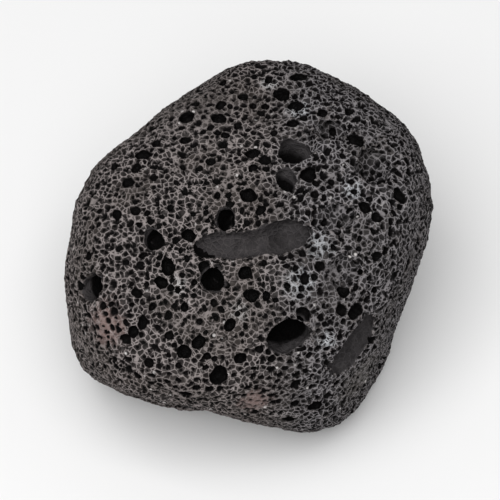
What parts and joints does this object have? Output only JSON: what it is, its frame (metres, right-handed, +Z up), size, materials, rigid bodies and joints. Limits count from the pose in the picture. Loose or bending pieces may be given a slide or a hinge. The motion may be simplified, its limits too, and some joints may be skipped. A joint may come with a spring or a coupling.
{
  "type": "lava rock",
  "caption": "Loose egg-sized lump of vesicular basalt with worn-round edges and open gas bubbles, lying on its flattest side.",
  "frame": {"origin": "on the ground under the middle of the stone's box", "axes": "+Z up from the flat side that the stone lies on; -Y and up is the way its broad face looks"},
  "size_m": [0.053, 0.0552, 0.0411],
  "materials": {
    "basalt": "dark grey to black vesicular basalt, matt and rough"
  },
  "bodies": {
    "root": {"lava_rock": "basalt"}
  },
  "joints": []
}
